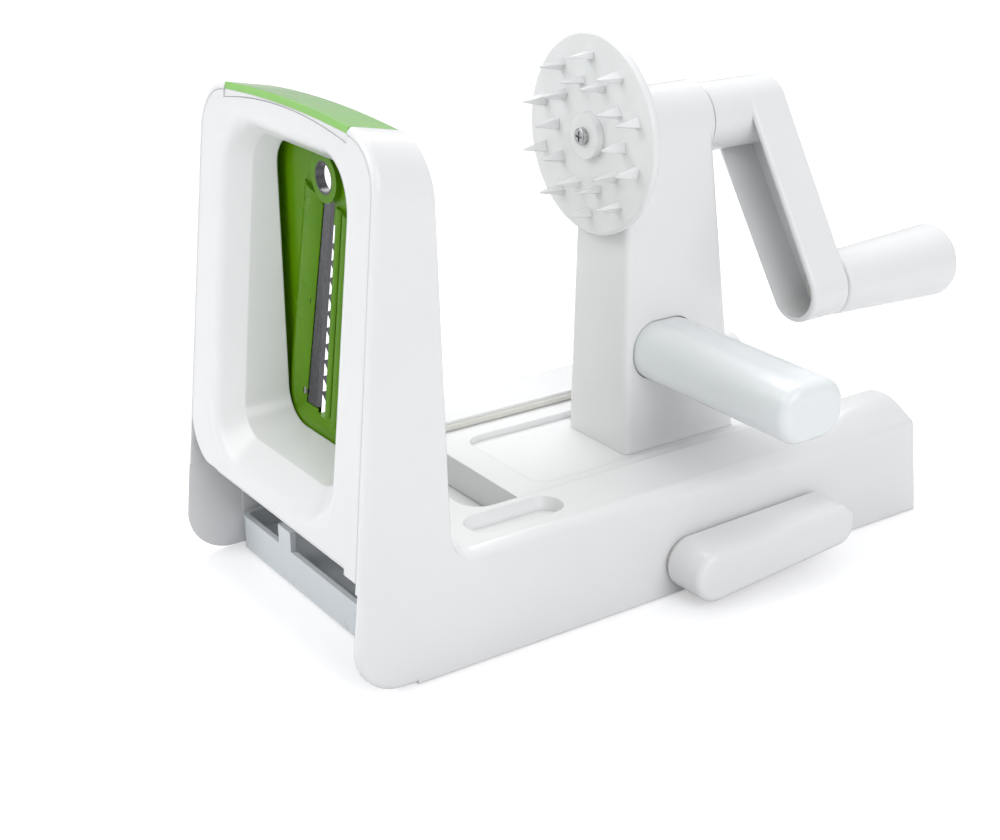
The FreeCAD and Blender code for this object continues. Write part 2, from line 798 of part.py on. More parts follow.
# Hole for the lever's bush through the near side.
bush_hole_radius = cam_shaft_radius + bush_wall
lever_hole = round_bar("y", -base_half_width - beyond, shell_wall - inner_half, bush_hole_radius,
                       lever_x, lever_height)
shell = shell.cut(lever_hole)
write("body_shell", shell)

# ================================================================ front bezel
def leaning_slab(start, end, low, high):
    """Slab parallel to the leaning front, between two depths behind it."""
    wide = 2 * base_half_width
    return prism([(front_at(low) + start, low), (front_at(low) + end, low),
                  (front_at(high) + end, high), (front_at(high) + start, high)],
                 "y", -wide, wide)


lean_angle = math.degrees(math.atan(front_lean))
crease_top = head_edge_height - crease_top_drop
rim_top = head_edge_height - rim_top_drop


def leaning_wire(half, low, high, radius, depth):
    """Rounded rectangle in a plane parallel to the front face, behind it by a depth."""
    stretch = math.hypot(1.0, front_lean)
    wire = rounded_wire(rounded_rectangle(-half, half, low * stretch, high * stretch, radius),
                        "x", 0.0)
    wire.rotate(Vector(0, 0, 0), Vector(0, 1, 0), lean_angle)
    wire.translate(Vector(depth, 0, 0))
    return wire


def funnel(wall):
    """Splayed mouth, from ahead of the front face to the crease behind it."""
    wires = []
    for depth in (-crease_depth / 2, crease_depth):
        share = 1.0 - depth / crease_depth
        wires.append(leaning_wire(
            crease_half_width + share * (rim_half_width - crease_half_width) + wall,
            crease_bottom + share * (rim_bottom - crease_bottom) - wall,
            crease_top + share * (rim_top - crease_top) + wall,
            crease_radius + share * (rim_radius - crease_radius) + wall, depth))
    return Part.makeLoft(wires, True, True)


def passage(wall, rear_x):
    """Slightly narrowing passage from the crease back to the cartridge."""
    share = (rear_x - mouth_rear_x) / (mouth_rear_x - front_at(spindle_height) - crease_depth)
    half = mouth_rear_half + share * (mouth_rear_half - crease_half_width) + wall
    low = mouth_rear_bottom + share * (mouth_rear_bottom - crease_bottom) - wall
    rear = rounded_wire(
        rounded_rectangle(-half, half, low, crease_top - mouth_rear_fall + wall,
                          mouth_rear_radius + wall), "x", rear_x)
    crease = leaning_wire(crease_half_width + wall, crease_bottom - wall, crease_top + wall,
                          crease_radius + wall, crease_depth)
    return Part.makeLoft([crease, rear], True, True)


bezel_inset = shell_wall + seam
behind_front = leaning_slab(0.0, 3 * beyond, bar_underside, arch_height_limit)
bezel = arch_body(bezel_inset, arch_bottom).common(
    leaning_slab(0.0, bezel_plate, bar_underside, arch_height_limit))
lip_bottom = bar_underside - lip_drop
bar_lip = arch_body(bezel_inset, arch_bottom).common(
    leaning_slab(lip_set_back, lip_depth, lip_bottom, bar_underside + past))
near_end = arch_body(bezel_inset, arch_bottom).common(
    leaning_slab(0.0, bezel_plate, lip_bottom, bar_underside + past)).common(
    block(-beyond, 2 * beyond, -base_half_width, -bar_near_length, 0.0, arch_top))
mouth_flange = prism(
    rounded_rectangle(-guide_outer, guide_outer, slot_bottom, window_top + top_bar_gap - seam,
                      window_radius),
    "x", mouth_rear_x - funnel_wall, mouth_rear_x)
bezel = bezel.fuse([bar_lip, near_end, funnel(funnel_wall).common(behind_front),
                    passage(funnel_wall, mouth_rear_x), mouth_flange])
bezel = bezel.cut(funnel(0.0))
bezel = bezel.cut(passage(0.0, mouth_rear_x + past))
bezel = bezel.cut(notch)

# The face's lower far corner is rounded, and shows the inside of the far leg.
corner_y = side_at(bar_underside) - bezel_inset
corner_block = block(-beyond, lip_depth + beyond, corner_y - bar_corner_radius, base_half_width,
                     0.0, bar_underside + bar_corner_radius)
corner_round = round_bar("x", -2 * beyond, 2 * beyond, bar_corner_radius,
                         corner_y - bar_corner_radius, bar_underside + bar_corner_radius - bite)
corner_round = corner_round.fuse(block(-2 * beyond, 2 * beyond, -base_half_width,
                                       corner_y - bar_corner_radius + touch, 0.0, arch_top))
bezel = bezel.cut(corner_block.cut(corner_round))


def on_funnel_rim(edge):
    """True for the edges where the funnel opens in the leaning front face."""
    for vertex in edge.Vertexes:
        if abs(vertex.X - front_at(vertex.Z)) > touch:
            return False
        if abs(vertex.Y) > rim_half_width + past:
            return False
        if vertex.Z > rim_top + past or vertex.Z < rim_bottom - past:
            return False
    return True


bezel = bezel.makeFillet(funnel_edge_radius, edges_where(bezel, on_funnel_rim))
write("front_bezel", bezel)

# ================================================================ blade cartridge
def swung(shape, angle=blade_angle):
    """Turn a shape drawn with the blade straight down to the blade's real angle."""
    turned = shape.copy()
    turned.rotate(Vector(0, 0, spindle_height), Vector(1, 0, 0), angle)
    return turned


def down(radius):
    """Height of a point straight below the spindle's axis."""
    return spindle_height - radius


def rounded_bar(middle, half_width, bulge, inner, outer, stand=0.0):
    """Bar along the blade with a rounded front, standing on the cartridge's web."""
    left = Vector(web_front - stand, middle - half_width, down(outer))
    right = Vector(web_front - stand, middle + half_width, down(outer))
    peak = Vector(web_front - stand - bulge, middle, down(outer))
    arc = Part.Arc(left, peak, right).toShape()
    left_back = left + Vector(stand + bite, 0, 0)
    right_back = right + Vector(stand + bite, 0, 0)
    wire = Part.Wire([arc, Part.makeLine(right, right_back),
                      Part.makeLine(right_back, left_back), Part.makeLine(left_back, left)])
    return Part.Face(wire).extrude(Vector(0, 0, outer - inner))


gap_low = blade_edge - strand_gap
guard_middle = gap_low - guard_half_width
side_bar_middle = guard_middle - guard_half_width - side_bar_half_width
web_front = cartridge_rear - rear_web
blade_rear = cartridge_rear - blade_inset
blade_front = blade_rear - blade_thickness
comb_rear = blade_rear
comb_front = comb_rear - comb_thickness
gap_spread = math.tan(math.radians(blade_angle - guard_angle))
pocket_top = window_top - pocket_top_drop
pocket_half = cartridge_half_width - pocket_rim
bar_reach = spindle_height - cartridge_bottom


def pocket_wire(x, grow):
    """Outline of the cartridge's front pocket; its floor rises towards the rear."""
    depth_share = (web_front - x) / (web_front - cartridge_front)
    low = cartridge_bottom + pocket_foot + (1.0 - depth_share) * pocket_slope
    return rounded_wire(rounded_rectangle(-pocket_half - grow, pocket_half + grow,
                                          low - grow, pocket_top + grow, pocket_radius), "x", x)


frame = prism(
    [(-cartridge_half_width, cartridge_bottom, cartridge_corner_radius),
     (cartridge_half_width, cartridge_bottom, cartridge_corner_radius),
     (cartridge_half_width, arch_top), (-cartridge_half_width, arch_top)],
    "x", cartridge_front, cartridge_rear)
frame = frame.cut(head_region(seam, arch_half_top))
frame = frame.cut(Part.makeLoft([pocket_wire(cartridge_front - past, 0.0),
                                 pocket_wire(web_front, 0.0)], True, True))
inside_pocket = Part.makeLoft([pocket_wire(cartridge_front, bite),
                               pocket_wire(cartridge_rear, bite)], True, True)
broad_bar = swung(rounded_bar(bar_edge + bar_half_width, bar_half_width, bar_bulge,
                              blade_inner, bar_reach), bar_angle)
guard_bar = swung(rounded_bar(guard_middle, guard_half_width, guard_bulge,
                              blade_inner, bar_reach, guard_stand), guard_angle)
side_bar = swung(rounded_bar(side_bar_middle, side_bar_half_width, side_bar_bulge,
                             blade_inner, bar_reach), guard_angle)
bars = broad_bar.fuse([guard_bar, side_bar])
frame = frame.fuse(bars.common(inside_pocket))
frame = frame.fuse(round_bar("x", cartridge_front + bite, cartridge_rear,
                             coring_radius + coring_seat, 0.0, spindle_height))


def gap_edge(radius):
    """Sideways place of the slot's far edge from the blade, which widens outward."""
    return gap_low - radius * gap_spread


strand_slot = swung(prism([(gap_edge(blade_outer), down(blade_outer)),
                           (blade_edge, down(blade_outer)), (blade_edge, down(slot_inner)),
                           (gap_edge(slot_inner), down(slot_inner))],
                          "x", cartridge_front - past, cartridge_rear + past))
steel_window = swung(block(cartridge_front - past, cartridge_rear + past, blade_edge - bite,
                           blade_edge + blade_width - 2 * bite, down(blade_outer),
                           down(blade_inner)))
steel_window = steel_window.cut(swung(rounded_bar(
    bar_edge + bar_half_width, bar_half_width, bar_bulge, 0.0, bar_reach).fuse(
    block(web_front, cartridge_rear + 2 * past, bar_edge, bar_edge + 2 * bar_half_width,
          down(bar_reach), spindle_height)), bar_angle))
blade_end = blade_outer + blade_end_lap
blade_seat = swung(block(blade_front - seam, cartridge_rear + past, blade_edge - past,
                         blade_edge + blade_width + seam, down(blade_end + seam),
                         down(blade_inner - seam)))
comb_seat = swung(block(comb_front - seam, cartridge_rear + past, gap_low - comb_root - seam,
                        gap_low + bite, down(blade_outer + seam), down(slot_inner - seam)),
                  guard_angle)
core_hole = round_bar("x", cartridge_front - past, cartridge_rear + past,
                      coring_radius + fixed_fit, 0.0, spindle_height)
for opening in (strand_slot, steel_window, blade_seat, comb_seat, core_hole):
    frame = frame.cut(opening)

# Slicing blade, ground to an edge along the slot.
blade_back = blade_edge + blade_width
blade_low = down(blade_end)
blade_section = [Vector(blade_rear, blade_edge, blade_low),
                 Vector(blade_front, blade_edge + blade_bevel, blade_low),
                 Vector(blade_front, blade_back, blade_low),
                 Vector(blade_rear, blade_back, blade_low)]
blade = Part.Face(Part.makePolygon(blade_section + blade_section[:1]))
blade = blade.extrude(Vector(0, 0, blade_end - blade_inner))
rivet_radii = [blade_inner + 2 * blade_end_lap, (blade_inner + blade_outer) / 2,
               blade_outer - blade_end_lap]
rivet_y = blade_back - rivet_head_radius - rivet_margin
rivets = []
for radius in rivet_radii:
    shank_front = blade_front - rivet_depth
    hole = round_bar("x", shank_front - seam, cartridge_rear + past, rivet_radius + fixed_fit,
                     rivet_y, down(radius))
    blade = blade.cut(hole)
    frame = frame.cut(swung(hole))
    shank = round_bar("x", shank_front, blade_rear + bite, rivet_radius, rivet_y, down(radius))
    head = round_bar("x", blade_rear, blade_rear + rivet_head, rivet_head_radius,
                     rivet_y, down(radius))
    rivets.append(swung(shank.fuse(head)))
write("slicing_blade", swung(blade))
write("blade_rivets", *rivets)

# Comb: one strip with a row of triangular teeth that score the strands.
comb = swung(block(comb_front, comb_rear, gap_low - comb_root, gap_low,
                   down(blade_outer), down(slot_inner)), guard_angle)
tooth_count = 1 + int((blade_outer - tooth_width / 2 - tooth_start) / tooth_pitch)
for i in range(tooth_count):
    radius = tooth_start + i * tooth_pitch
    root = gap_edge(radius) - bite
    comb = comb.fuse(swung(prism(
        [(root, down(radius + tooth_width / 2)), (blade_edge - tooth_gap, down(radius)),
         (root, down(radius - tooth_width / 2))], "x", comb_front, comb_rear)))
write("comb_blade", comb)

coring_ring = round_bar("x", cartridge_front + bite, cartridge_rear, coring_radius,
                        0.0, spindle_height)
coring_ring = coring_ring.cut(round_bar("x", cartridge_front - past, cartridge_rear + past,
                                        coring_radius - coring_wall, 0.0, spindle_height))
write("coring_ring", coring_ring)
write("cartridge_frame", frame)

# Head and crowned cap that close the notch in the arch's top.
crown = arch_body(0.0, arch_bottom).common(
    side_view(head_inset, head_inset, head_edge_height - beyond, arch_height_limit, 0.0))
top_zone = head_region(0.0, arch_half_top)
under_cap = arch_body(cap_thickness, arch_bottom)
cap = crown.common(top_zone).cut(under_cap)
head = crown.common(top_zone).common(under_cap)
write("cartridge_head", head)
write("cartridge_cap", cap)

# ================================================================ base tray and feet
tray_rear = rear_face_at(tray_height) - shell_wall - tray_rear_gap
tray_half_width = inner_half - tray_side_gap
stem_x = lever_x - crank_pin_offset


def tray_prism(inset, low, high):
    return prism(rounded_rectangle(tray_front + inset, tray_rear - inset,
                                   inset - tray_half_width, tray_half_width - inset,
                                   tray_corner_radius - inset), "z", low, high)


tray = tray_prism(0.0, floor_gap, tray_height)
tray = tray.cut(tray_prism(tray_wall, tray_floor_top, tray_height + beyond))
tray = tray.cut(tray_prism(tray_wall, floor_gap - beyond, tray_floor_bottom))
tray = tray.cut(block(lever_x - tray_notch_half, lever_x + tray_notch_half,
                      -tray_half_width - past, past + tray_wall - tray_half_width,
                      tray_floor_top, tray_height + beyond))

tray = tray.fuse(block(tray_front, tray_front + tray_wall, tray_lug_low, tray_lug_high,
                       tray_floor_top, tray_lug_height))

web_far = -stem_radius - web_gap
web_near = web_far - web_thickness
cheek_far = web_near - slide_gap
cheek_near = cheek_far - cheek_thickness
cheek = block(lever_x - cheek_half_width, lever_x + cheek_half_width, cheek_near, cheek_far,
              tray_floor_bottom, lever_height)
cheek = cheek.fuse(round_bar("y", cheek_near, cheek_far, cheek_half_width,
                             lever_x, lever_height))
tray = tray.fuse(cheek)
tray = tray.cut(round_bar("y", cheek_near - past, cheek_far + past,
                          cam_shaft_radius + running_fit, lever_x, lever_height))
tray = tray.cut(round_bar("z", 0.0, tray_floor_top + past, stem_radius + running_fit, stem_x, 0.0))
tray_screws = []
for x, y in screw_places:
    tray = tray.cut(round_bar("z", 0.0, tray_floor_top + past, screw_radius + screw_clearance, x, y))
    tray_screws.append(screw("z", tray_floor_bottom, 1, tray_screw_length, x, y))
feet = []
for x, half in foot_places:
    for y in (-half, half):
        tray = tray.cut(round_bar("z", 0.0, tray_floor_top + past,
                                  foot_stud_radius + fixed_fit, x, y))
        foot = round_bar("z", 0.0, tray_floor_bottom, foot_pad_radius, x, y)
        foot = foot.fuse(round_bar("z", past, tray_floor_top + seam, foot_stud_radius, x, y))
        foot = foot.fuse(Part.makeCone(foot_barb_radius, foot_tip_radius,
                                       foot_stud_height - tray_floor_top - seam,
                                       Vector(x, y, tray_floor_top + seam)))
        feet.append(foot)
write("base_tray", tray)
write("tray_screws", *tray_screws)
write("rubber_feet", *feet)

pad = prism(rounded_rectangle(pad_front, pad_rear, -pad_half_width, pad_half_width, pad_radius),
            "z", 0.0, tray_floor_bottom)
pad = pad.cut(prism(
    rounded_rectangle(pad_front + pad_lip, pad_rear - pad_lip, pad_lip - pad_half_width,
                      pad_half_width - pad_lip, pad_radius - pad_lip),
    "z", -past, pad_skin_bottom))
pad = pad.cut(round_bar("z", 0.0, tray_floor_top, stem_foot_radius + slide_gap, stem_x, 0.0))
write("suction_pad", pad)

# Suction lever, its shaft with an eccentric pin, and the stem that pulls the pad up.
wall_y = side_at(lever_height)
lever_inner = -wall_y - lever_wall_gap
lever_outer = lever_inner - lever_thickness
flange_face = -wall_y - slide_gap
bush = round_bar("y", flange_face - side_bush_flange_thickness, flange_face,
                 bush_hole_radius + side_bush_flange, lever_x, lever_height)
bush = bush.fuse(round_bar("y", flange_face - bite, side_bush_depth - wall_y,
                           bush_hole_radius - fixed_fit, lever_x, lever_height))
bush = bush.cut(round_bar("y", flange_face - beyond, side_bush_depth + beyond - wall_y,
                          cam_shaft_radius + running_fit, lever_x, lever_height))
write("lever_bush", bush)

hub_spot = (lever_x, lever_height, lever_hub_radius)
tip_spot = (lever_x + lever_length, lever_height + lever_tip_rise, lever_tip_radius)
lever = hull("y", lever_outer, lever_inner, hub_spot, tip_spot)
lever = lever.makeFillet(lever_edge_radius, edges_where(
    lever, lambda edge: abs(edge.BoundBox.YMax - lever_outer) < touch))
lever = lever.makeFillet(lever_edge_radius / 3, edges_where(
    lever, lambda edge: abs(edge.BoundBox.YMin - lever_inner) < touch))
lever_hollow = hull("y", lever_outer + lever_wall, lever_inner + past,
                    (lever_x, lever_height, lever_hub_radius - lever_wall),
                    (tip_spot[0], tip_spot[1], lever_tip_radius - lever_wall))
lever_hollow = lever_hollow.cut(round_bar("y", lever_outer, lever_inner + 2 * past,
                                          cam_shaft_radius + bush_wall, lever_x, lever_height))
lever = lever.cut(lever_hollow)
shaft_end = lever_inner - lever_bore_depth
lever = lever.cut(round_bar("y", shaft_end - seam, lever_inner + past,
                            cam_shaft_radius + fixed_fit, lever_x, lever_height))
write("suction_lever", lever)

cam_shaft = round_bar("y", shaft_end, web_near + bite, cam_shaft_radius, lever_x, lever_height)
web = hull("y", web_near, web_far, (lever_x, lever_height, web_radius),
           (stem_x, lever_height, crank_pin_radius + pin_collar))
pin_end = yoke_thickness / 2 + pin_stand_out
cam_shaft = cam_shaft.fuse([web, round_bar("y", web_near, pin_end, crank_pin_radius,
                                           stem_x, lever_height)])
write("cam_shaft", cam_shaft)

yoke_half = yoke_thickness / 2
window_half = crank_pin_radius + yoke_side_gap
window_rise = crank_pin_radius + yoke_top_gap
stem = block(stem_x - window_half - yoke_wall, stem_x + window_half + yoke_wall,
             -yoke_half, yoke_half, lever_height - window_rise - yoke_wall,
             lever_height + window_rise + yoke_wall)
stem = stem.cut(block(stem_x - window_half, stem_x + window_half, -yoke_half - past,
                      yoke_half + past, lever_height - window_rise, lever_height + window_rise))
foot_top = stem_foot_bottom + stem_foot_thickness
stem = stem.fuse([
    round_bar("z", foot_top - bite, lever_height - window_rise - yoke_wall + bite,
              stem_radius, stem_x, 0.0),
    round_bar("z", stem_foot_bottom, foot_top, stem_foot_radius, stem_x, 0.0)])
write("suction_stem", stem)

# ================================================================ carriage
strip_bottom = plate_top + slide_gap
strips = []
for side in (-1, 1):
    edges_y = sorted((side * (channel_half_width - strip_reach), side * channel_half_width))
    strips.append(block(deck_rear + channel_corner_radius,
                        rear_face_at(strip_bottom + strip_height) - strip_end_gap,
                        edges_y[0], edges_y[1], strip_bottom, strip_bottom + strip_height))
write("hold_down_strips", *strips)

plate_half_width = channel_half_width - slide_gap
plate_bottom = channel_floor + slide_gap
seat_height = plate_top - recess_depth
plate_ceiling = seat_height - plate_wall
plate = prism(rounded_rectangle(plate_front, plate_rear, -plate_half_width, plate_half_width,
                                plate_corner_radius), "z", plate_bottom, plate_top)
plate = plate.cut(prism(
    rounded_rectangle(plate_front + plate_wall, plate_rear - plate_wall,
                      plate_wall - plate_half_width, plate_half_width - plate_wall,
                      plate_inner_radius),
    "z", plate_bottom - past, plate_ceiling))
for side in (-1, 1):
    middle = side * plate_rib_offset
    plate = plate.fuse(block(plate_front + past, plate_rear - past, middle - plate_rib / 2,
                             middle + plate_rib / 2, plate_bottom, plate_ceiling + past))
for i in range(1, plate_bays):
    middle = plate_front + (plate_rear - plate_front) * i / plate_bays
    plate = plate.fuse(block(middle - plate_rib / 2, middle + plate_rib / 2,
                             past - plate_half_width, plate_half_width - past,
                             plate_bottom, plate_ceiling + past))
plate = plate.cut(prism(
    rounded_rectangle(recess_front, recess_rear, -recess_half_width, recess_half_width,
                      recess_radius), "z", seat_height, plate_top + beyond))


def tower_half(height):
    """Half width of the tower at a height."""
    share = (height - seat_height) / (spindle_height - seat_height)
    return tower_half_foot + (tower_half_top - tower_half_foot) * share


def tower_rear(height):
    share = (height - seat_height) / (spindle_height - seat_height)
    return tower_rear_foot + (tower_rear_top - tower_rear_foot) * share


def tower_body(inset, low, high):
    """The tower's tapering body between two heights, drawn in on every side."""
    across = prism([(inset - tower_half(low), low), (tower_half(low) - inset, low),
                    (tower_half(high) - inset, high), (inset - tower_half(high), high)],
                   "x", tower_front + inset, tower_rear_foot + beyond)
    along = prism([(tower_front, low), (tower_rear(low) - inset, low),
                   (tower_rear(high) - inset, high), (tower_front, high)],
                  "y", -2 * tower_half_foot, 2 * tower_half_foot)
    return across.common(along)


def upright(edge):
    ends = [vertex.Point for vertex in edge.Vertexes]
    return abs(ends[0].z - ends[-1].z) > spindle_height / 2


tower = tower_body(0.0, seat_height, spindle_height)
tower = tower.makeFillet(tower_edge_radius, edges_where(tower, upright))
barrel = round_bar("x", barrel_front, barrel_rear, barrel_radius, 0.0, spindle_height)
barrel = barrel.makeFillet(barrel_edge_radius, edges_where(
    barrel, lambda edge: edge.BoundBox.XLength < touch))
tower = tower.fuse(barrel)
tower = tower.cut(tower_body(tower_wall, seat_height - beyond,
                             spindle_height - barrel_radius - tower_wall / 2))
tower_bosses = []
boss_y = tower_half_foot - tower_wall - screw_boss_radius + tower_boss_sink
for x in (tower_front + tower_wall + tower_boss_front,
          tower_rear_foot - tower_wall - tower_boss_rear):
    for side in (-1, 1):
        tower_bosses.append((x, side * boss_y))
tower_screws = []
for x, y in tower_bosses:
    tower = tower.fuse(round_bar("z", seat_height, seat_height + tower_boss_height,
                                 screw_boss_radius, x, y))
    tower = tower.cut(pilot("z", plate_ceiling, 1, tower_screw_length, x, y))
    plate = plate.cut(round_bar("z", plate_bottom, seat_height + past,
                                screw_radius + screw_clearance, x, y))
    plate = plate.cut(round_bar("z", plate_bottom - past, plate_ceiling,
                                screw_head_radius + screw_clearance, x, y))
    tower_screws.append(screw("z", plate_ceiling, 1, tower_screw_length, x, y))
write("carriage_plate", plate)
write("tower_screws", *tower_screws)

# Bushes at both ends of the tower's barrel.
tower = tower.cut(round_bar("x", barrel_front - past, barrel_rear + past,
                            bush_radius + fixed_fit, 0.0, spindle_height))
tower = tower.cut(round_bar("x", barrel_rear, barrel_rear + beyond,
                            bush_flange_radius + slide_gap, 0.0, spindle_height))
tower = tower.cut(round_bar("x", barrel_front + bush_length + past,
                            barrel_rear - bush_length - past,
                            barrel_radius - tower_wall, 0.0, spindle_height))
for node, face, heading in (("front_bush", barrel_front, 1), ("rear_bush", barrel_rear, -1)):
    flange = sorted((face, face - heading * bush_flange))
    sleeve = sorted((face - heading * bite, face + heading * bush_length))
    bush = round_bar("x", flange[0], flange[1], bush_flange_radius, 0.0, spindle_height)
    bush = bush.fuse(round_bar("x", sleeve[0], sleeve[1], bush_radius, 0.0, spindle_height))
    bush = bush.cut(round_bar("x", flange[0] - beyond, flange[1] + beyond,
                              spindle_radius + running_fit, 0.0, spindle_height))
    write(node, bush)

# Push handle through the tower's near side.
handle_hole = prism(
    rounded_rectangle(handle_front - handle_hole_gap, handle_rear + handle_hole_gap,
                      handle_bottom - handle_hole_gap, handle_top + handle_hole_gap,
                      handle_corner_radius + handle_hole_gap),
    "y", -2 * tower_half_foot, 0.0)
tower = tower.cut(handle_hole)
handle_end = tower_half(handle_top) - tower_wall - seam
handle_middle_x = (handle_front + handle_rear) / 2
handle_middle_z = (handle_bottom + handle_top) / 2
handle = prism(rounded_rectangle(handle_front, handle_rear, handle_bottom, handle_top,
                                 handle_corner_radius), "y", handle_tip, handle_end)
handle = handle.makeFillet(handle_tip_radius, edges_where(
    handle, lambda edge: abs(edge.BoundBox.YMax - handle_tip) < touch))
handle_core = prism(
    rounded_rectangle(handle_front + tower_wall, handle_rear - tower_wall,
                      handle_bottom + tower_wall, handle_top - tower_wall,
                      handle_corner_radius - tower_wall),
    "y", handle_tip + 2 * tower_wall, handle_end + past)
handle_core = handle_core.cut(round_bar("y", handle_tip, handle_end + 2 * past, handle_boss_radius,
                                        handle_middle_x, handle_middle_z))
handle = handle.cut(handle_core)
handle_seat = tower_half(handle_middle_z - screw_head_radius)
handle = handle.cut(pilot("y", handle_seat, -1, handle_screw_length,
                          handle_middle_x, handle_middle_z))
tower = tower.cut(round_bar("y", 0.0, handle_seat + past, screw_radius + screw_clearance,
                            handle_middle_x, handle_middle_z))
write("push_handle", handle)
write("handle_screw", screw("y", handle_seat, -1, handle_screw_length,
                            handle_middle_x, handle_middle_z))
write("tower_shell", tower)

# ================================================================ spindle, disc and crank
disc_front = barrel_front - bush_flange - disc_gap - disc_thickness
disc_rear = disc_front + disc_thickness
boss_front = disc_front - disc_boss_height
shaft_front = boss_front + disc_cap
arm_end = crank_arm_start + crank_arm_depth
arm_floor = arm_end - crank_floor
shaft_rear = arm_floor - hub_cap
shaft = round_bar("x", shaft_front, shaft_rear, spindle_radius, 0.0, spindle_height)
disc_pilot = pilot("x", boss_front, 1, end_screw_length, 0.0, spindle_height)
crank_seat = arm_end - screw_head
crank_pilot = pilot("x", crank_seat, -1, end_screw_length, 0.0, spindle_height)
shaft = shaft.cut(disc_pilot)
shaft = shaft.cut(crank_pilot)
write("spindle_shaft", shaft)

disc = round_bar("x", disc_front, disc_rear, disc_radius, 0.0, spindle_height)
disc = disc.makeFillet(disc_edge_radius, edges_where(
    disc, lambda edge: edge.BoundBox.XLength < touch))
disc = disc.fuse(round_bar("x", boss_front, disc_rear, disc_boss_radius, 0.0, spindle_height))


def spike():
    """Pointed spike on the disc's face, straight above the spindle."""
    wires = []
    for x, share in ((disc_front + bite, 1.0), (disc_front - spike_length, spike_tip_share)):
        half_y = spike_width / 2 * share
        half_z = spike_root / 2 * share
        wires.append(rounded_wire([(-half_y, -half_z), (half_y, -half_z),
                                   (half_y, half_z), (-half_y, half_z)], "x", x))
    return Part.makeLoft(wires, True, True)


single_spike = spike()
for start, ring_radius in ((outer_spike_start, outer_spike_radius),
                           (inner_spike_start, inner_spike_radius)):
    for i in range(spikes_per_ring):
        angle = start + i * 360.0 / spikes_per_ring
        placed = single_spike.copy()
        placed.translate(Vector(0, 0, ring_radius))
        placed.rotate(Vector(0, 0, 0), Vector(1, 0, 0), angle - 90.0)
        placed.translate(Vector(0, 0, spindle_height))
        disc = disc.fuse(placed)
disc = disc.cut(round_bar("x", shaft_front - seam, disc_rear + past,
                          spindle_radius + fixed_fit, 0.0, spindle_height))
disc = disc.cut(round_bar("x", boss_front - past, shaft_front, screw_radius + screw_clearance,
                          0.0, spindle_height))
write("spiked_disc", disc)
write("disc_screw", screw("x", boss_front, 1, end_screw_length, 0.0, spindle_height))

knob_y = -crank_length * math.sin(math.radians(crank_angle))
knob_z = spindle_height - crank_length * math.cos(math.radians(crank_angle))
hub_start = barrel_rear + bush_flange + slide_gap
arm = hull("x", crank_arm_start, arm_end, (0.0, spindle_height, arm_hub_radius),
           (knob_y, knob_z, crank_end_radius))
arm = arm.makeFillet(crank_edge_radius, edges_where(
    arm, lambda edge: edge.BoundBox.XLength < touch))
arm_hollow = hull("x", crank_arm_start - past, arm_floor,
                  (0.0, spindle_height, arm_hub_radius - crank_wall),
                  (knob_y, knob_z, crank_end_radius - crank_wall))
arm = arm.cut(arm_hollow)
hub = round_bar("x", hub_start, arm_floor + bite, hub_radius, 0.0, spindle_height)
hub = hub.cut(round_bar("x", hub_start - past, arm_floor, hub_radius - crank_wall,
                        0.0, spindle_height))
sleeve_radius = spindle_radius + bush_wall
sleeve = round_bar("x", hub_start, arm_floor + bite, sleeve_radius, 0.0, spindle_height)
pin_boss = round_bar("x", arm_floor - pin_boss_height, arm_floor + bite, pin_boss_radius,
                     knob_y, knob_z)
arm = arm.fuse([hub, sleeve, pin_boss])
for i in range(int(hub_webs)):
    web = block(hub_start + hub_web_set_back, arm_floor + bite, sleeve_radius - bite,
                hub_radius - crank_wall + bite, -hub_web / 2, hub_web / 2)
    web.translate(Vector(0, 0, spindle_height))
    web.rotate(Vector(0, 0, spindle_height), Vector(1, 0, 0), 360.0 * i / hub_webs)
    arm = arm.fuse(web)
arm = arm.cut(round_bar("x", hub_start - past, shaft_rear + seam, spindle_radius + fixed_fit,
                        0.0, spindle_height))
arm = arm.cut(round_bar("x", shaft_rear, arm_end + past, screw_radius + screw_clearance,
                        0.0, spindle_height))
arm = arm.cut(round_bar("x", crank_seat, arm_end + past, screw_head_radius + screw_clearance,
                        0.0, spindle_height))
pin_start = arm_floor - pin_boss_height
arm = arm.cut(round_bar("x", pin_start - past, arm_end + past, knob_pin_radius + fixed_fit,
                        knob_y, knob_z))
write("crank_arm", arm)
write("crank_screw", screw("x", crank_seat, -1, end_screw_length, 0.0, spindle_height))

knob_start = arm_end + slide_gap
knob_end = knob_start + knob_length
barb_start = knob_start + knob_bore_depth - knob_barb_length - 2 * slide_gap
pin_end = barb_start + knob_barb_length
pin = round_bar("x", pin_start - pin_head, pin_end, knob_pin_radius, knob_y, knob_z)
pin = pin.fuse([
    round_bar("x", pin_start - pin_head, pin_start, knob_pin_radius + pin_head_step,
              knob_y, knob_z),
    Part.makeCone(knob_pin_radius + knob_barb, knob_pin_radius - knob_barb, knob_barb_length,
                  Vector(barb_start, knob_y, knob_z), Vector(1, 0, 0))])
write("knob_pin", pin)

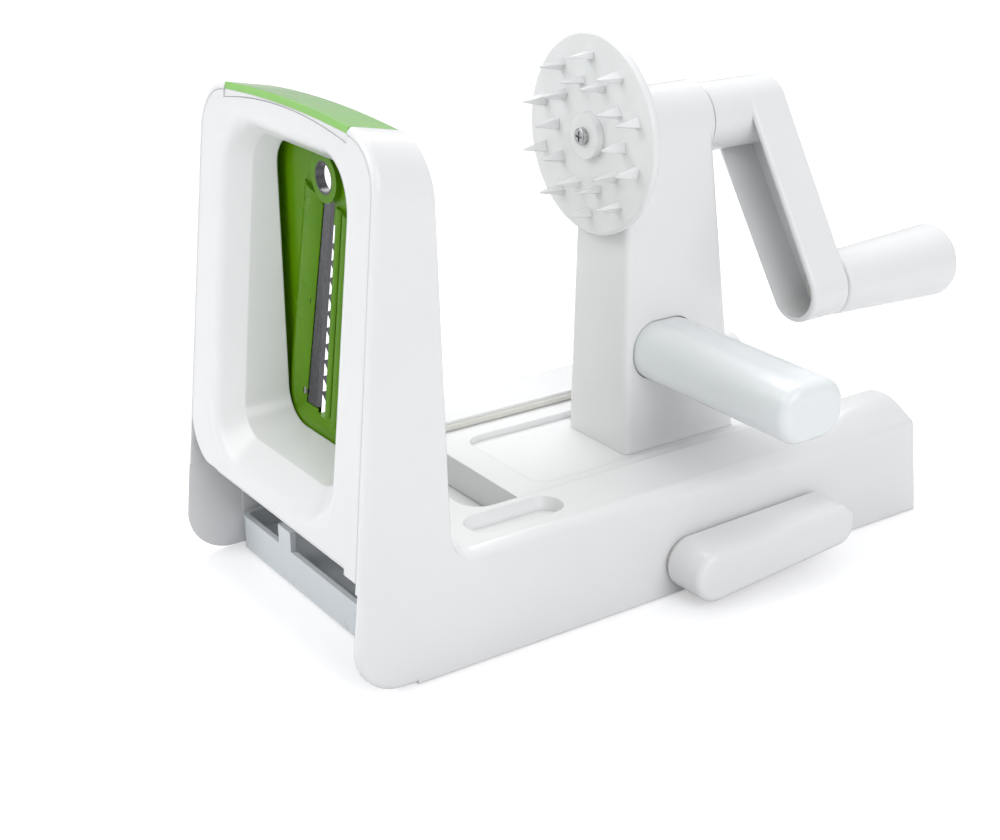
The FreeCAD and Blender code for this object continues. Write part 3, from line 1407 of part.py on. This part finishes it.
dome_start = knob_end - knob_dome
ball_radius = (knob_end_radius ** 2 + knob_dome ** 2) / (2 * knob_dome)
half_dome = math.asin(knob_end_radius / ball_radius) / 2
dome_middle = Vector(knob_end - ball_radius + ball_radius * math.cos(half_dome),
                     ball_radius * math.sin(half_dome), 0)
root = Vector(knob_start, knob_root_radius, 0)
shoulder = Vector(dome_start, knob_end_radius, 0)
tip = Vector(knob_end, 0, 0)
axis_start = Vector(knob_start, 0, 0)
half_section = Part.Face(Part.Wire([
    Part.makeLine(axis_start, root), Part.makeLine(root, shoulder),
    Part.Arc(shoulder, dome_middle, tip).toShape(), Part.makeLine(tip, axis_start)]))
knob = half_section.revolve(Vector(0, 0, 0), Vector(1, 0, 0), 360.0)
knob = knob.makeFillet(knob_root_edge, edges_where(
    knob, lambda edge: abs(edge.BoundBox.XMax - knob_start) < touch and edge.Length > past))
knob = knob.makeFillet(knob_end_edge, edges_where(
    knob, lambda edge: edge.BoundBox.XLength < touch
    and abs(edge.CenterOfMass.x - dome_start) < touch))
knob.translate(Vector(0, knob_y, knob_z))
knob = knob.cut(round_bar("x", knob_start - past, knob_start + knob_bore_depth,
                          knob_pin_radius + running_fit, knob_y, knob_z))
knob = knob.cut(round_bar("x", barb_start - slide_gap, knob_start + knob_bore_depth,
                          knob_pin_radius + knob_barb + slide_gap, knob_y, knob_z))
write("crank_knob", knob)
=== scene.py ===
import math

import bpy
from mathutils import Euler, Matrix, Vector


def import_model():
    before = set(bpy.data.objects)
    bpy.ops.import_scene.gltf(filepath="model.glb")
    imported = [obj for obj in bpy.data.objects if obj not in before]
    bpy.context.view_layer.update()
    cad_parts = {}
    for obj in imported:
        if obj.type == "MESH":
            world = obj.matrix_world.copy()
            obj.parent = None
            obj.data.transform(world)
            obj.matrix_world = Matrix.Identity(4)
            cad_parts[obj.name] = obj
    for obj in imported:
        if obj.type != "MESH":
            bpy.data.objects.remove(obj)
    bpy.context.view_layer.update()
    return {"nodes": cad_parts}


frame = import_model()

# ---------------------------------------------------------------- camera, in metres
CAMERA_PLACE = (-0.30588, -0.50120, 0.31157)
CAMERA_TILT = math.radians(67.4)
CAMERA_HEADING = math.radians(-34.61)
CAMERA_LENS = 59.85
SENSOR_WIDTH = 36.0
NEAREST_SEEN = 0.01
FARTHEST_SEEN = 50.0

# ---------------------------------------------------------------- studio
WHITE = (1.0, 1.0, 1.0, 1.0)
WORLD_LIGHT = 0.60         # soft light on the object from all round
BACKDROP_LIGHT = 1.0       # what the camera sees of the studio: plain white
LOW_LIGHT = (0.62, 0.65, 0.70, 1.0)
LOW_LIGHT_ENDS = 0.25      # heights, as shares of the way from straight down to straight up
HIGH_LIGHT_STARTS = 0.85

FLOOR_HALF = 6.0
FLOOR_COLOUR = (0.80, 0.80, 0.81, 1.0)
FLOOR_ROUGHNESS = 0.22
FLOOR_SPECULAR = 0.35
FLOOR_LIFT = 0.36          # glow for the camera alone, which makes the lit floor white

LAMP_TARGET = (0.09, 0.0, 0.09)
LAMPS = {
    "key_box": {"place": (-1.5, 0.7, 1.1), "size": (1.4, 1.4), "watts": 16.0},
    "fill_box": {"place": (-0.1, -1.7, 1.1), "size": (1.6, 1.2), "watts": 16.0},
    "back_box": {"place": (0.5, 1.0, 1.6), "size": (1.6, 1.2), "watts": 24.0},
}

# ---------------------------------------------------------------- looks shared by materials
NOISE_ROUGHNESS = 0.5
NOISE_LOW = 0.3            # a noise texture keeps mostly between these two values
NOISE_HIGH = 0.7
BEVEL_SAMPLES = 4

PLASTIC_IOR = 1.5
PLASTIC_SPECULAR = 0.5
COAT_ROUGHNESS = 0.06
SCATTER_DEPTH = 0.002
FLOW_SCALE = 14.0          # broad tint left by the flow of the melt
FLOW_DETAIL = 3.0
POLISH_SCALE = 55.0        # patches of more and less gloss
POLISH_DETAIL = 4.0
GRAIN_SCALE = 420.0        # fine skin of the mould
GRAIN_DETAIL = 2.0
SINK_SCALE = 30.0          # shallow waves over thick places
SINK_DETAIL = 1.0
SINK_SHARE = 6.0           # height of the waves, as a multiple of the grain's
PEEL_STRENGTH = 0.35

STEEL_EDGE = 0.0002
SCRATCH_DETAIL = 4.0
SCRATCH_SHADE = 0.72       # colour in a scratch, as a share of the steel's
SCRATCH_STRENGTH = 0.3
SCRATCH_DEPTH = 0.00002

# pale and deep: the two ends of the tint. gloss: least and most roughness.
# peel: height of the skin's bumps. edge: radius of the eased edges.
PLASTICS = {
    "body_white": {
        "pale": (0.80, 0.805, 0.81, 1), "deep": (0.775, 0.78, 0.79, 1), "gloss": (0.16, 0.26),
        "peel": 0.00003, "edge": 0.0006, "scatter": 0.12, "scatter_colour": (1.0, 1.0, 1.0)},
    "handle_white": {
        "pale": (0.79, 0.815, 0.83, 1), "deep": (0.77, 0.80, 0.82, 1), "gloss": (0.12, 0.2),
        "peel": 0.00002, "edge": 0.0006, "scatter": 0.3, "scatter_colour": (0.9, 1.0, 1.0)},
    "cartridge_green": {
        "pale": (0.105, 0.26, 0.002, 1), "deep": (0.08, 0.21, 0.002, 1), "gloss": (0.20, 0.30),
        "peel": 0.00003, "edge": 0.0004, "scatter": 0.25, "scatter_colour": (0.5, 1.0, 0.1),
        "specular": 0.14},
    "cap_green": {
        "pale": (0.26, 0.58, 0.12, 1), "deep": (0.23, 0.54, 0.10, 1), "gloss": (0.10, 0.18),
        "peel": 0.00002, "edge": 0.0004, "scatter": 0.2, "scatter_colour": (0.5, 1.0, 0.2),
        "coat": 0.4},
    "tray_grey": {
        "pale": (0.70, 0.74, 0.77, 1), "deep": (0.67, 0.71, 0.74, 1), "gloss": (0.26, 0.36),
        "peel": 0.00004, "edge": 0.0005},
    "bush_nylon": {
        "pale": (0.70, 0.69, 0.65, 1), "deep": (0.66, 0.65, 0.61, 1), "gloss": (0.3, 0.42),
        "peel": 0.00003, "edge": 0.0003, "scatter": 0.3, "scatter_colour": (1.0, 0.95, 0.85)},
    "pad_rubber": {
        "pale": (0.16, 0.165, 0.17, 1), "deep": (0.13, 0.135, 0.14, 1), "gloss": (0.42, 0.6),
        "peel": 0.00006, "edge": 0.0005},
    "foot_rubber": {
        "pale": (0.20, 0.205, 0.21, 1), "deep": (0.17, 0.175, 0.18, 1), "gloss": (0.5, 0.7),
        "peel": 0.00008, "edge": 0.0005},
}

# lines: how close the scratches lie. stretch: along which axes they run.
STEELS = {
    "blade_steel": {"colour": (0.13, 0.13, 0.14, 1), "gloss": (0.18, 0.34), "lines": 3600.0,
                    "stretch": (1.0, 1.0, 0.06)},
    "rivet_steel": {"colour": (0.60, 0.60, 0.61, 1), "gloss": (0.2, 0.35), "lines": 900.0,
                    "stretch": (1.0, 1.0, 1.0)},
    "screw_steel": {"colour": (0.55, 0.55, 0.56, 1), "gloss": (0.25, 0.4), "lines": 1200.0,
                    "stretch": (1.0, 1.0, 1.0)},
    "shaft_steel": {"colour": (0.62, 0.62, 0.63, 1), "gloss": (0.12, 0.25), "lines": 1200.0,
                    "stretch": (0.04, 1.0, 1.0)},
}


class Graph:
    """Small helper that builds a node tree."""

    def __init__(self, tree):
        self.tree = tree
        tree.nodes.clear()

    def add(self, kind, **settings):
        node = self.tree.nodes.new(kind)
        for key, value in settings.items():
            setattr(node, key, value)
        return node

    def link(self, source, target):
        self.tree.links.new(source, target)


def linked_in(name, data):
    """Object of its own for the data, in the scene's collection."""
    item = bpy.data.objects.new(name, data)
    bpy.context.scene.collection.objects.link(item)
    return item


def new_material(name):
    """Empty material with its node tree and the output node."""
    material = bpy.data.materials.new(name)
    material.use_nodes = True
    graph = Graph(material.node_tree)
    return material, graph, graph.add("ShaderNodeOutputMaterial")


# ---------------------------------------------------------------- stage and view
def camera():
    """Camera at the near left of the object, a little above it."""
    data = bpy.data.cameras.new("view_camera")
    data.lens = CAMERA_LENS
    data.sensor_width = SENSOR_WIDTH
    data.clip_start = NEAREST_SEEN
    data.clip_end = FARTHEST_SEEN
    item = linked_in("view_camera", data)
    item.location = CAMERA_PLACE
    item.rotation_euler = Euler((CAMERA_TILT, 0.0, CAMERA_HEADING))
    bpy.context.scene.camera = item


def softbox(name, place, size, watts):
    """Rectangular lamp that looks at the object."""
    data = bpy.data.lights.new(name, "AREA")
    data.shape = "RECTANGLE"
    data.size = size[0]
    data.size_y = size[1]
    data.energy = watts
    item = linked_in(name, data)
    item.location = place
    aim = Vector(LAMP_TARGET) - Vector(place)
    item.rotation_euler = aim.to_track_quat("-Z", "Y").to_euler()


def world():
    """White to the camera, a plain soft light to the object."""
    item = bpy.data.worlds.new("studio")
    bpy.context.scene.world = item
    item.use_nodes = True
    graph = Graph(item.node_tree)
    out = graph.add("ShaderNodeOutputWorld")
    light = graph.add("ShaderNodeBackground")
    light.inputs["Strength"].default_value = WORLD_LIGHT
    backdrop = graph.add("ShaderNodeBackground")
    backdrop.inputs["Color"].default_value = WHITE
    backdrop.inputs["Strength"].default_value = BACKDROP_LIGHT
    # The studio is a little darker towards its floor, so that round forms keep their shape.
    coords = graph.add("ShaderNodeTexCoord")
    axes = graph.add("ShaderNodeSeparateXYZ")
    ramp = graph.add("ShaderNodeValToRGB")
    ramp.color_ramp.elements[0].position = LOW_LIGHT_ENDS
    ramp.color_ramp.elements[0].color = LOW_LIGHT
    ramp.color_ramp.elements[1].position = HIGH_LIGHT_STARTS
    ramp.color_ramp.elements[1].color = WHITE
    height = graph.add("ShaderNodeMapRange")
    height.inputs["From Min"].default_value = -1.0
    height.inputs["From Max"].default_value = 1.0
    graph.link(coords.outputs["Generated"], axes.inputs["Vector"])
    graph.link(axes.outputs["Z"], height.inputs["Value"])
    graph.link(height.outputs["Result"], ramp.inputs["Fac"])
    graph.link(ramp.outputs["Color"], light.inputs["Color"])
    path = graph.add("ShaderNodeLightPath")
    seen = graph.add("ShaderNodeMath", operation="MAXIMUM")
    mix = graph.add("ShaderNodeMixShader")
    graph.link(path.outputs["Is Camera Ray"], seen.inputs[0])
    graph.link(path.outputs["Is Transmission Ray"], seen.inputs[1])
    graph.link(seen.outputs["Value"], mix.inputs["Fac"])
    graph.link(light.outputs["Background"], mix.inputs[1])
    graph.link(backdrop.outputs["Background"], mix.inputs[2])
    graph.link(mix.outputs["Shader"], out.inputs["Surface"])


def floor():
    """Pale floor that keeps the object's shadow and a faint reflection of it."""
    mesh = bpy.data.meshes.new("studio_floor")
    half = FLOOR_HALF
    corners = [(-half, -half, 0.0), (half, -half, 0.0), (half, half, 0.0), (-half, half, 0.0)]
    mesh.from_pydata(corners, [], [(0, 1, 2, 3)])
    item = linked_in("studio_floor", mesh)
    material, graph, out = new_material("studio_floor")
    surface = graph.add("ShaderNodeBsdfPrincipled")
    surface.inputs["Base Color"].default_value = FLOOR_COLOUR
    surface.inputs["Roughness"].default_value = FLOOR_ROUGHNESS
    surface.inputs["Specular IOR Level"].default_value = FLOOR_SPECULAR
    lift = graph.add("ShaderNodeEmission")
    lift.inputs["Color"].default_value = WHITE
    path = graph.add("ShaderNodeLightPath")
    strength = graph.add("ShaderNodeMath", operation="MULTIPLY")
    strength.inputs[1].default_value = FLOOR_LIFT
    both = graph.add("ShaderNodeAddShader")
    graph.link(path.outputs["Is Camera Ray"], strength.inputs[0])
    graph.link(strength.outputs["Value"], lift.inputs["Strength"])
    graph.link(surface.outputs["BSDF"], both.inputs[0])
    graph.link(lift.outputs["Emission"], both.inputs[1])
    graph.link(both.outputs["Shader"], out.inputs["Surface"])
    mesh.materials.append(material)


# ---------------------------------------------------------------- materials
def noise(graph, vector, scale, detail):
    """Noise texture in the object's own metres."""
    item = graph.add("ShaderNodeTexNoise")
    item.inputs["Scale"].default_value = scale
    item.inputs["Detail"].default_value = detail
    item.inputs["Roughness"].default_value = NOISE_ROUGHNESS
    graph.link(vector, item.inputs["Vector"])
    return item.outputs["Fac"]


def spread_to(graph, source, low, high):
    """Noise value spread over the range from low to high."""
    item = graph.add("ShaderNodeMapRange")
    item.inputs["From Min"].default_value = NOISE_LOW
    item.inputs["From Max"].default_value = NOISE_HIGH
    item.inputs["To Min"].default_value = low
    item.inputs["To Max"].default_value = high
    graph.link(source, item.inputs["Value"])
    return item.outputs["Result"]


def tint_between(graph, source, first, second):
    """Colour that goes from the first to the second with the noise."""
    item = graph.add("ShaderNodeMix", data_type="RGBA")
    for socket in item.inputs:
        if socket.type == "RGBA" and socket.name == "A":
            socket.default_value = first
        if socket.type == "RGBA" and socket.name == "B":
            socket.default_value = second
    graph.link(spread_to(graph, source, 0.0, 1.0), item.inputs["Factor"])
    return [socket for socket in item.outputs if socket.type == "RGBA"][0]


def finish_surface(graph, surface, out, edge, height, strength, distance):
    """Eased edges and a bump on the surface, and the surface on the output."""
    rounded = graph.add("ShaderNodeBevel", samples=BEVEL_SAMPLES)
    rounded.inputs["Radius"].default_value = edge
    bump = graph.add("ShaderNodeBump")
    bump.inputs["Strength"].default_value = strength
    bump.inputs["Distance"].default_value = distance
    graph.link(height, bump.inputs["Height"])
    graph.link(rounded.outputs["Normal"], bump.inputs["Normal"])
    graph.link(bump.outputs["Normal"], surface.inputs["Normal"])
    graph.link(surface.outputs["BSDF"], out.inputs["Surface"])


def moulded_plastic(name, pale, deep, gloss, peel, edge, scatter=0.0, scatter_colour=None,
                    specular=PLASTIC_SPECULAR, coat=0.0):
    """Injection-moulded plastic: faint flow tint, uneven gloss, orange peel and eased edges."""
    material, graph, out = new_material(name)
    surface = graph.add("ShaderNodeBsdfPrincipled")
    surface.inputs["Specular IOR Level"].default_value = specular
    surface.inputs["IOR"].default_value = PLASTIC_IOR
    surface.inputs["Coat Weight"].default_value = coat
    surface.inputs["Coat Roughness"].default_value = COAT_ROUGHNESS
    if scatter:
        surface.inputs["Subsurface Weight"].default_value = scatter
        surface.inputs["Subsurface Radius"].default_value = scatter_colour
        surface.inputs["Subsurface Scale"].default_value = SCATTER_DEPTH
    place = graph.add("ShaderNodeTexCoord").outputs["Object"]
    flow = noise(graph, place, FLOW_SCALE, FLOW_DETAIL)
    graph.link(tint_between(graph, flow, pale, deep), surface.inputs["Base Color"])
    polish = noise(graph, place, POLISH_SCALE, POLISH_DETAIL)
    graph.link(spread_to(graph, polish, gloss[0], gloss[1]), surface.inputs["Roughness"])
    grain = noise(graph, place, GRAIN_SCALE, GRAIN_DETAIL)
    sink = noise(graph, place, SINK_SCALE, SINK_DETAIL)
    both = graph.add("ShaderNodeMath", operation="MULTIPLY_ADD")
    both.inputs[1].default_value = SINK_SHARE
    graph.link(sink, both.inputs[0])
    graph.link(grain, both.inputs[2])
    finish_surface(graph, surface, out, edge, both.outputs["Value"], PEEL_STRENGTH, peel)
    return material


def ground_steel(name, colour, gloss, lines, stretch):
    """Rolled or ground steel with fine scratches, which lie parallel where it is stretched."""
    material, graph, out = new_material(name)
    surface = graph.add("ShaderNodeBsdfPrincipled")
    surface.inputs["Metallic"].default_value = 1.0
    place = graph.add("ShaderNodeTexCoord").outputs["Object"]
    mapping = graph.add("ShaderNodeMapping")
    mapping.inputs["Scale"].default_value = stretch
    graph.link(place, mapping.inputs["Vector"])
    scratch = noise(graph, mapping.outputs["Vector"], lines, SCRATCH_DETAIL)
    dark = tuple(channel * SCRATCH_SHADE for channel in colour[:3]) + (1.0,)
    graph.link(tint_between(graph, scratch, dark, colour), surface.inputs["Base Color"])
    graph.link(spread_to(graph, scratch, gloss[0], gloss[1]), surface.inputs["Roughness"])
    finish_surface(graph, surface, out, STEEL_EDGE, scratch, SCRATCH_STRENGTH, SCRATCH_DEPTH)
    return material


def dress(materials):
    """Give each solid the finish that its material slot names."""
    for item in frame["nodes"].values():
        for slot in item.material_slots:
            plain = slot.material.name.split(".")[0]
            if plain in materials:
                slot.material = materials[plain]


finishes = {name: moulded_plastic(name, **look) for name, look in PLASTICS.items()}
finishes.update({name: ground_steel(name, **look) for name, look in STEELS.items()})
dress(finishes)
camera()
world()
floor()
for lamp_name, lamp in LAMPS.items():
    softbox(lamp_name, **lamp)
bpy.context.scene.view_settings.view_transform = "Standard"
